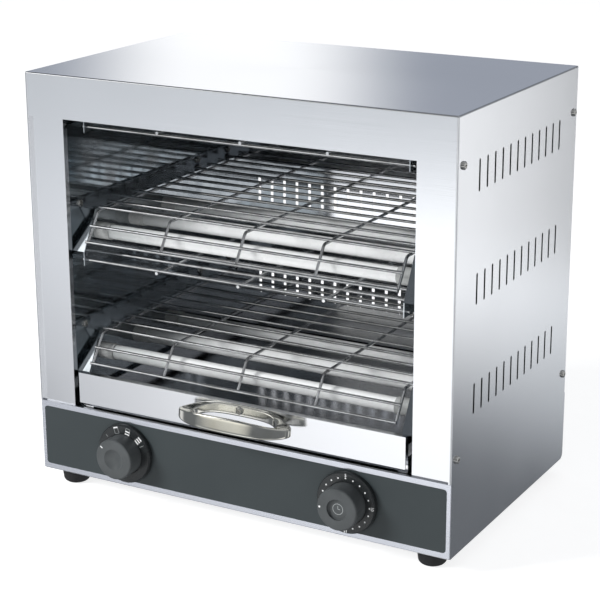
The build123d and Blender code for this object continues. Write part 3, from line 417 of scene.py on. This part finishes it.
# ---- Control panel and its overlay ---------------------------------------------------------------
# A folded steel plate, with a dark polyester film inside a bare metal border. The film has a very
# fine grain and a low sheen.
PANEL_COLOUR = (0.74, 0.76, 0.82, 1)
PANEL_ROUGHNESS = (0.24, 0.3)
OVERLAY_COLOUR = (0.041, 0.051, 0.054, 1)
OVERLAY_SHADE = (0.035, 0.044, 0.047, 1)

panel_steel = sheet_steel("panel_steel", PANEL_COLOUR, PANEL_ROUGHNESS)
coat(panel_steel, "control_panel")

overlay_film, tree, shader = material("overlay_film")
point = place_of(tree)[0]
tooth = noise(tree, point, 1800.0, 2.0)
wear = noise(tree, point, 14.0, 3.0)
join(tree, shader, Base_Color=ramp(tree, wear, (0.35, OVERLAY_SHADE), (0.65, OVERLAY_COLOUR)))
join(tree, shader, Roughness=wander(tree, wear, 0.42, 0.5), Specular_IOR_Level=0.4)
join(tree, shader, Normal=bump(tree, tooth, 0.01 * MM))
coat(overlay_film, "panel_overlay")


# ---- Dial rings ----------------------------------------------------------------------------------
# Satin black rings fixed around both knobs. Their scales are printed in white and grey: one to three
# bars for the heat, and a dot for each of the timer's 15 minutes, with every fifth numbered.
DIAL_DARK, DIAL_LIGHT = (0.014, 0.016, 0.017, 1), (0.024, 0.027, 0.028, 1)
INK, INK_SINK = 0.06 * MM, 0.02 * MM
THIN_INK = 0.8 * INK
SCALE_RADIUS = 24.2 * MM
DOT_SIDES = 24

dial_plastic, tree, shader = material("dial_plastic")
speck = noise(tree, place_of(tree)[0], 1500.0, 3.0)
join(tree, shader, Base_Color=two_tone(tree, speck, DIAL_DARK, DIAL_LIGHT))
join(tree, shader, Roughness=wander(tree, speck, 0.24, 0.32), Normal=bump(tree, speck, 0.02 * MM))
coat(dial_plastic, "selector_dial_ring", "timer_dial_ring")


def print_ink(name, colour):
    made, tree, shader = material(name)
    mottle = noise(tree, place_of(tree)[0], 2500.0, 2.0)
    worn = tuple(0.85 * part for part in colour) + (1,)
    join(tree, shader, Base_Color=ramp(tree, mottle, (0.35, worn), (0.6, (*colour, 1))), Roughness=0.5)
    return made


white_ink = print_ink("white_ink", (0.86, 0.87, 0.87))
grey_ink = print_ink("grey_ink", (0.34, 0.36, 0.36))


def face_centre(node):
    """The centre of a round piece's front face."""
    low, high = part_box(node)
    return Vector(((low.x + high.x) / 2, low.y, (low.z + high.z) / 2))


def on_dial(centre, degrees, radius):
    """A frame on a round face, at degrees from the user's right, anticlockwise.

    Its x runs along the ring, y outwards from its centre, and z towards the user.
    """
    turn = math.radians(degrees)
    outwards = Vector((math.cos(turn), 0, math.sin(turn)))
    towards = Vector((0, -1, 0))
    along = outwards.cross(towards)
    axes = Matrix((along, outwards, towards)).transposed().to_4x4()
    return Matrix.Translation(centre + outwards * radius) @ axes


def ink_block(shape, place, x0, x1, y0, y1, thick=INK):
    """A printed patch with a hair of thickness."""
    size = Matrix.Diagonal((x1 - x0, y1 - y0, thick, 1))
    shift = Matrix.Translation(((x0 + x1) / 2, (y0 + y1) / 2, thick / 2 - INK_SINK))
    bmesh.ops.create_cube(shape, size=1, matrix=place @ shift @ size)


def ink_dot(shape, place, radius):
    """A printed round dot with a hair of thickness."""
    shift = Matrix.Translation((0, 0, INK / 2 - INK_SINK))
    bmesh.ops.create_cone(shape, cap_ends=True, segments=DOT_SIDES, radius1=radius, radius2=radius,
                          depth=INK, matrix=place @ shift)


selector_centre = face_centre("selector_dial_ring")
BAR_LENGTH, BAR_WIDTH, BAR_PITCH = 5.0 * MM, 1.3 * MM, 2.75 * MM
FRAME_LINE = 0.45 * MM
# Each mark's place on the ring in degrees, and which of its three bars are printed, from the middle.
HEAT_MARKS = {108: (1,), 77: (-1, 0), 44: (-1, 0, 1)}
# The off mark and the scale's end line: the place in degrees and half the length.
PLAIN_LINES = ((140, 1.6 * MM), (29, 2.6 * MM))


def heat_bars(shape):
    """The printed bars of the three heat marks."""
    for degrees, printed in HEAT_MARKS.items():
        place = on_dial(selector_centre, degrees, SCALE_RADIUS)
        for bar in printed:
            inner, outer = bar * BAR_PITCH - BAR_WIDTH / 2, bar * BAR_PITCH + BAR_WIDTH / 2
            ink_block(shape, place, -BAR_LENGTH / 2, BAR_LENGTH / 2, inner, outer)


def heat_frames(shape):
    """Thin frames around the bars, the off mark and the end line."""
    wide, tall, half_line = BAR_LENGTH / 2, BAR_PITCH + BAR_WIDTH / 2, FRAME_LINE / 2
    for degrees in HEAT_MARKS:
        place = on_dial(selector_centre, degrees, SCALE_RADIUS)
        for side in (-1, 1):
            edge = side * (wide - half_line)
            ink_block(shape, place, edge - half_line, edge + half_line, -tall, tall, THIN_INK)
            rung = side * (tall - half_line)
            ink_block(shape, place, -wide, wide, rung - half_line, rung + half_line, THIN_INK)
    for degrees, half in PLAIN_LINES:
        place = on_dial(selector_centre, degrees, SCALE_RADIUS)
        ink_block(shape, place, -half_line, half_line, -half, half, THIN_INK)


mesh_piece("selector_bars", heat_bars, white_ink, "cabinet", smooth=False)
mesh_piece("selector_frames", heat_frames, grey_ink, "cabinet", smooth=False)

timer_centre = face_centre("timer_dial_ring")
MINUTES, NUMBERED_MINUTES = 15, (5, 10, 15)
ZERO_ANGLE, MINUTE_ANGLE = 180, 18
MINUTE_DOT = 0.8 * MM
NUMERAL_HEIGHT, NUMERAL_RADIUS, NUMERAL_STROKE = 4.0 * MM, 25.6 * MM, 0.07 * MM


def at_minute(minute, radius):
    """The place of a minute on the timer's ring; they run clockwise from the user's left."""
    return on_dial(timer_centre, ZERO_ANGLE - MINUTE_ANGLE * minute, radius)


def minute_dots(shape):
    for minute in range(1, MINUTES + 1):
        ink_dot(shape, at_minute(minute, SCALE_RADIUS), MINUTE_DOT)


mesh_piece("timer_dots", minute_dots, white_ink, "cabinet", smooth=False)

for minute in NUMBERED_MINUTES:
    text = bpy.data.curves.new(f"timer_numeral_{minute}", "FONT")
    text.body, text.size, text.extrude = str(minute), NUMERAL_HEIGHT, INK / 2
    text.align_x, text.align_y, text.offset = "CENTER", "BOTTOM_BASELINE", NUMERAL_STROKE
    text.materials.append(white_ink)
    numeral = bpy.data.objects.new(text.name, text)
    bpy.context.scene.collection.objects.link(numeral)
    numeral.matrix_world = at_minute(minute, NUMERAL_RADIUS)
    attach(numeral, "cabinet")


# ---- Knobs and shafts ----------------------------------------------------------------------------
# Fine satin plastic grips pressed on steel shafts. Each has a white mark at its rim, and the
# timer's has a small clock face in its cup.
KNOB_DARK, KNOB_LIGHT = (0.058, 0.064, 0.066, 1), (0.076, 0.083, 0.086, 1)
SELECTOR_MARK_ANGLE, SELECTOR_MARK_RADIUS = 141, 17.0 * MM
SELECTOR_MARK_HALF_WIDTH, SELECTOR_MARK_HALF_LENGTH = 0.5 * MM, 1.4 * MM
TIMER_MARK_RADIUS, TIMER_MARK_DOT = 17.2 * MM, 0.95 * MM
CLOCK_RADIUS, CLOCK_LINE, CLOCK_SIDES = 5.0 * MM, 0.55 * MM, 48
CLOCK_HANDS = ((90, 3.2 * MM), (0, 2.3 * MM))
CUP_DEPTH = 2.6 * MM

knob_plastic, tree, shader = material("knob_plastic")
point = place_of(tree)[0]
pores = noise(tree, point, 1400.0, 3.0)
rub = noise(tree, point, 70.0, 3.0)
join(tree, shader, Base_Color=two_tone(tree, rub, KNOB_DARK, KNOB_LIGHT))
join(tree, shader, Roughness=wander(tree, rub, 0.38, 0.48), Normal=bump(tree, pores, 0.03 * MM))
coat(knob_plastic, "selector_knob", "timer_knob")


def selector_tick(shape):
    place = on_dial(face_centre("selector_knob"), SELECTOR_MARK_ANGLE, SELECTOR_MARK_RADIUS)
    wide, tall = SELECTOR_MARK_HALF_WIDTH, SELECTOR_MARK_HALF_LENGTH
    ink_block(shape, place, -wide, wide, -tall, tall)


def timer_tick(shape):
    ink_dot(shape, on_dial(face_centre("timer_knob"), ZERO_ANGLE, TIMER_MARK_RADIUS), TIMER_MARK_DOT)


def clock_symbol(shape):
    """A plain ring with two hands, printed on the floor of the timer's cup."""
    centre = face_centre("timer_knob") + Vector((0, CUP_DEPTH, 0))
    half_line = CLOCK_LINE / 2
    for step in range(CLOCK_SIDES):
        place = on_dial(centre, 360 * step / CLOCK_SIDES, CLOCK_RADIUS)
        half = math.pi * CLOCK_RADIUS / CLOCK_SIDES
        ink_block(shape, place, -half, half, -half_line, half_line)
    for degrees, reach in CLOCK_HANDS:
        ink_block(shape, on_dial(centre, degrees, 0), -half_line, half_line, 0, reach)


mesh_piece("selector_pointer", selector_tick, white_ink, "selector", smooth=False)
mesh_piece("timer_pointer", timer_tick, white_ink, "timer", smooth=False)
mesh_piece("timer_clock_symbol", clock_symbol, grey_ink, "timer", smooth=False)


# ---- Screws, feet and electrics ------------------------------------------------------------------
# Nickel-plated cross-head screws; black rubber feet; a black nylon gland for the mains cable; the
# switch, the timer and the terminal block sit out of sight in the base.
NICKEL_DARK, NICKEL_LIGHT = (0.5, 0.49, 0.46, 1), (0.74, 0.73, 0.7, 1)
RUBBER_DARK, RUBBER_LIGHT = (0.012, 0.012, 0.013, 1), (0.024, 0.024, 0.025, 1)
NYLON_DARK, NYLON_LIGHT = (0.02, 0.02, 0.021, 1), (0.032, 0.032, 0.033, 1)
SWITCH_DARK, SWITCH_LIGHT = (0.07, 0.07, 0.075, 1), (0.1, 0.1, 0.105, 1)

screw_steel, tree, shader = material("screw_steel")
lathe = noise(tree, place_of(tree)[0], 500.0, 3.0)
join(tree, shader, Base_Color=two_tone(tree, lathe, NICKEL_DARK, NICKEL_LIGHT))
join(tree, shader, Metallic=1.0, Roughness=wander(tree, lathe, 0.2, 0.34))
coat(screw_steel, "cover_screws", "back_screws", "bracket_screws", "foot_screws", "tray_pull_screw")
coat(screw_steel, "selector_shaft", "timer_shaft")


def moulded(name, dark, light, roughness, fineness, depth):
    """A moulded plastic or rubber; fineness and depth are those of its speckle."""
    made, tree, shader = material(name)
    speck = noise(tree, place_of(tree)[0], fineness, 3.0)
    join(tree, shader, Base_Color=two_tone(tree, speck, dark, light))
    join(tree, shader, Roughness=wander(tree, speck, roughness, roughness + 0.15))
    join(tree, shader, Normal=bump(tree, speck, depth * MM))
    return made


coat(moulded("foot_rubber", RUBBER_DARK, RUBBER_LIGHT, 0.6, 900.0, 0.08), "rubber_feet")
coat(moulded("gland_nylon", NYLON_DARK, NYLON_LIGHT, 0.42, 600.0, 0.03), "cable_gland", "terminal_block")
coat(moulded("switch_body", SWITCH_DARK, SWITCH_LIGHT, 0.4, 700.0, 0.03), "selector_switch",
     "timer_clockwork")


# ---- Floor, light and camera ---------------------------------------------------------------------
# A pale floor and a soft studio around the toaster: broad pale screens with soft edges, each at its
# own place around the room, over a dim blue-grey surround. A softbox casts the shadows.
FLOOR_DARK, FLOOR_LIGHT = (0.5, 0.5, 0.5, 1), (0.53, 0.53, 0.53, 1)
FLOOR_GLOW = 0.8
FLOOR_RADIUS, FLOOR_DROP, FLOOR_SIDES = 9.0, 0.0003, 96
WHITE = (1, 1, 1, 1)

floor_material, tree, shader = material("floor_paper")
fibre = noise(tree, place_of(tree)[0], 40.0, 3.0)
join(tree, shader, Base_Color=two_tone(tree, fibre, FLOOR_DARK, FLOOR_LIGHT))
join(tree, shader, Roughness=0.9, Specular_IOR_Level=0.0)
join(tree, shader, Emission_Color=WHITE, Emission_Strength=FLOOR_GLOW)
# Mirror reflections pass through the floor, so that the metal shows the screens below the horizon.
clear = add(tree, "ShaderNodeBsdfTransparent")
glossy = add(tree, "ShaderNodeLightPath").outputs["Is Glossy Ray"]
choice = add(tree, "ShaderNodeMixShader", {0: glossy, 1: shader.outputs[0], 2: clear.outputs[0]})
tree.links.new(choice.outputs[0], tree.nodes["Material Output"].inputs[0])
bpy.ops.mesh.primitive_circle_add(vertices=FLOOR_SIDES, radius=FLOOR_RADIUS, fill_type="NGON",
                                  location=(0, 0, -FLOOR_DROP))
floor = bpy.context.object
floor.name = "floor"
floor.data.materials.append(floor_material)

SURROUND = (0.15, 0.16, 0.175)
# Each screen: the side it is on, degrees to the left of straight ahead, its half width and edge,
# degrees above the horizon, its half height and edge, and its light.
SCREENS = (
    ("front", 20, 5, 16, -21, 5, 4, (1.3, 1.3, 1.3)),
    ("front", 31, 10, 8, -9, 3.5, 10, (0.56, 0.58, 0.6)),
    ("front", 40, 6, 8, -20, 5, 6, (0.2, 0.2, 0.21)),
    ("front", 33, 5, 10, 11, 4, 6, (1.0, 0.98, 0.9)),
    ("front", 46, 8, 4, 27, 8, 4, (2.0, 2.0, 2.0)),
    ("front", -5, 6, 8, -16, 8, 8, (0.7, 0.7, 0.71)),
    ("front", -34, 14, 8, -16, 5, 6, (1.0, 1.0, 1.0)),
    ("front", -40, 40, 20, 50, 25, 15, (0.25, 0.25, 0.25)),
    ("front", -94, 12, 10, -14, 8, 8, (0.6, 0.6, 0.61)),
    ("front", 96, 12, 10, -14, 8, 8, (0.6, 0.6, 0.61)),
    ("back", 31.5, 1.5, 5, 10, 9, 5, (0.85, 0.83, 0.78)),
    ("back", 31, 25, 10, 10, 12, 6, (0.22, 0.24, 0.29)),
    ("back", -27, 3, 6, -13, 3, 6, (1.2, 1.2, 1.2)),
    ("back", -17, 4, 4, -19, 1.5, 3, (0.4, 0.42, 0.44)),
    ("back", -59, 12, 10, -14, 8, 8, (0.55, 0.55, 0.56)),
    ("back", 55, 14, 10, -14, 8, 8, (0.55, 0.55, 0.56)),
    ("back", 2, 6, 6, -17, 10, 8, (0.5, 0.51, 0.52)),
    ("back", -62, 30, 18, 16, 8, 12, (0.5, 0.51, 0.53)),
    ("back", 0, 60, 25, 76, 14, 10, (0.5, 0.51, 0.53)),
)
world = bpy.data.worlds.new("studio")
bpy.context.scene.world = world
world.use_nodes = True
tree = world.node_tree
ray = add(tree, "ShaderNodeTexCoord").outputs["Generated"]
x, y, z = add(tree, "ShaderNodeSeparateXYZ", {0: ray}).outputs
to_left = calculate(tree, "MULTIPLY", x, -1.0)
to_front = calculate(tree, "MULTIPLY", y, -1.0)
bearing = {
    "front": calculate(tree, "DEGREES", calculate(tree, "ARCTAN2", to_left, to_front)),
    "back": calculate(tree, "DEGREES", calculate(tree, "ARCTAN2", to_left, y)),
}
rise = calculate(tree, "DEGREES", calculate(tree, "ARCSINE", z))


def window(tree, value, middle, half, edge):
    """One inside a span and nought outside it, with a soft edge."""
    off = calculate(tree, "ABSOLUTE", calculate(tree, "SUBTRACT", value, middle))
    return spread(tree, off, half, half + edge, 1.0, 0.0, smooth=True)


light = vector(tree, *SURROUND)
for side, left, wide, wide_edge, up, tall, tall_edge, colour in SCREENS:
    across = window(tree, bearing[side], left, wide, wide_edge)
    upright = window(tree, rise, up, tall, tall_edge)
    share = calculate(tree, "MULTIPLY", across, upright)
    sockets = {0: share, 1: colour, 2: light}
    light = add(tree, "ShaderNodeVectorMath", sockets, operation="MULTIPLY_ADD").outputs[0]
# Beyond the floor's edge the camera sees plain white, and everything else is lit by the screens.
seen = add(tree, "ShaderNodeLightPath").outputs["Is Camera Ray"]
backdrop = add(tree, "ShaderNodeMix", {0: seen, 6: light, 7: WHITE}, data_type="RGBA").outputs[2]
tree.links.new(backdrop, tree.nodes["Background"].inputs["Color"])


def way(azimuth, elevation):
    """The direction azimuth to the right of the front, and elevation above level."""
    level = math.cos(elevation)
    return Vector((math.sin(azimuth) * level, -math.cos(azimuth) * level, math.sin(elevation)))


# The softbox stands to the front left, as high as a raised arm; the left post shades the tubes from
# it. In the metal, the screen in the same place stands for it.
KEY_AZIMUTH, KEY_ELEVATION, KEY_DISTANCE = math.radians(-46), math.radians(26), 2.5
KEY_SIZE, KEY_POWER = 0.8, 62.0
KEY_TARGET = Vector((0, 0, 0.2))
key_light = bpy.data.lights.new("key", "AREA")
key_light.size, key_light.energy = KEY_SIZE, KEY_POWER
key = bpy.data.objects.new("key", key_light)
key_way = way(KEY_AZIMUTH, KEY_ELEVATION)
key.location = key_way * KEY_DISTANCE + KEY_TARGET
key.rotation_mode = "QUATERNION"
key.rotation_quaternion = key_way.to_track_quat("Z", "Y")
key.visible_glossy = False
bpy.context.scene.collection.objects.link(key)

# The camera looks from the front right and a little above. The two steps move it sideways and up in
# its own frame, with no turn.
TARGET = Vector((0.0, 0.005, 0.215))
AZIMUTH, ELEVATION, ROLL = math.radians(29.3837), math.radians(17.4261), math.radians(-0.2398)
DISTANCE, SIDE_STEP, UP_STEP = 1.69705, -0.0012963, -0.0298023
LENS, SENSOR_WIDTH = 105.33, 36.0
camera_data = bpy.data.cameras.new("camera")
camera_data.lens, camera_data.sensor_width = LENS, SENSOR_WIDTH
camera = bpy.data.objects.new("camera", camera_data)
bpy.context.scene.collection.objects.link(camera)
away = way(AZIMUTH, ELEVATION)
turn = away.to_track_quat("Z", "Y") @ Quaternion((0, 0, 1), ROLL)
camera.rotation_mode = "QUATERNION"
camera.rotation_quaternion = turn
camera.location = TARGET + away * DISTANCE + turn @ Vector((SIDE_STEP, UP_STEP, 0))
bpy.context.scene.camera = camera
bpy.context.scene.view_settings.view_transform = "Standard"
